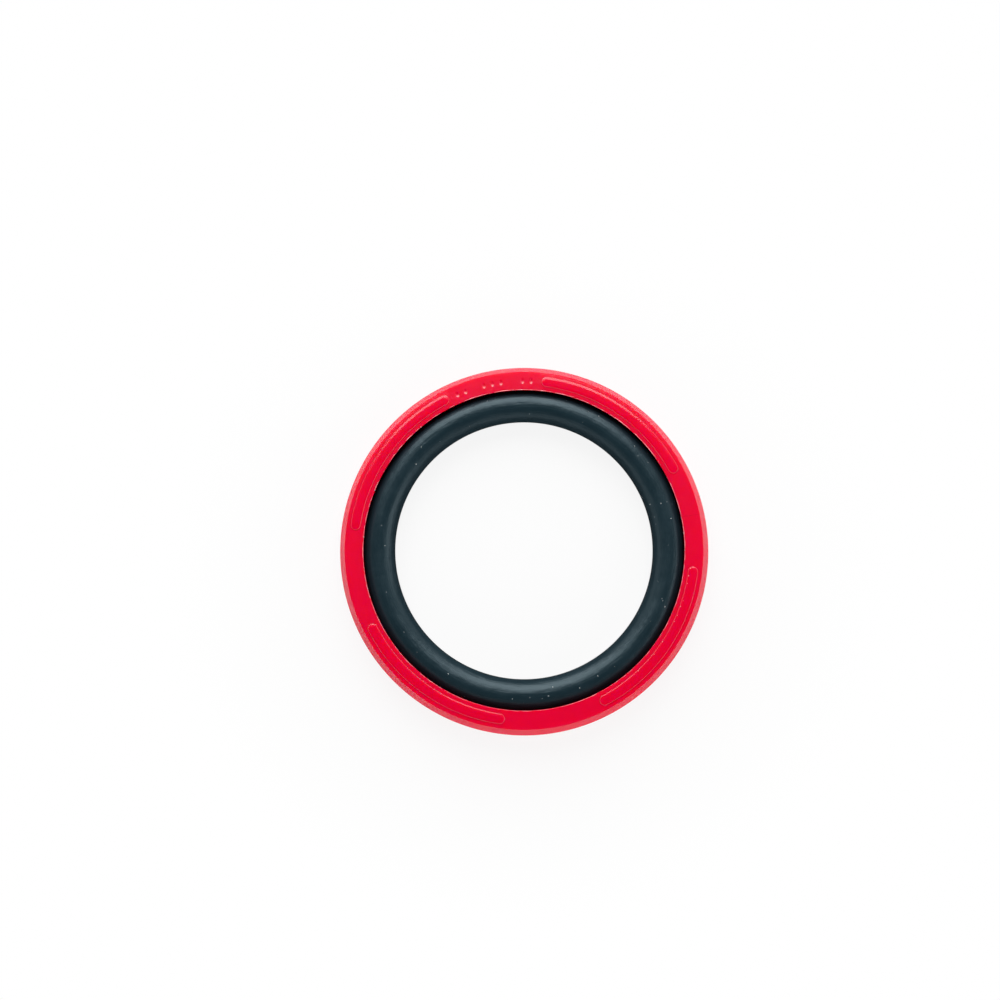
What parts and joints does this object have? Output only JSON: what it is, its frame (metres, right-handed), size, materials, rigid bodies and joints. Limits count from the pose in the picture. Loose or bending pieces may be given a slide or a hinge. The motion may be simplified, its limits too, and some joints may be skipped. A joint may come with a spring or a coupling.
{
  "type": "piston seal",
  "caption": "Double-acting piston seal: a red profile ring with twin sealing lips and raised side pads, pressed outwards by a rubber O-ring seated inside it.",
  "frame": {"origin": "centre of the plane that the lower side pads rest on", "axes": "+Z along the seal's axis, up from the surface it lies on; +X passes between two of the pads"},
  "size_m": [0.0808, 0.0808, 0.008],
  "materials": {
    "red_polyurethane": "smooth moulded, half gloss",
    "black_rubber": "matte with a soft sheen"
  },
  "bodies": {
    "root": {"profile_ring": "red_polyurethane", "o_ring": "black_rubber"}
  },
  "joints": []
}
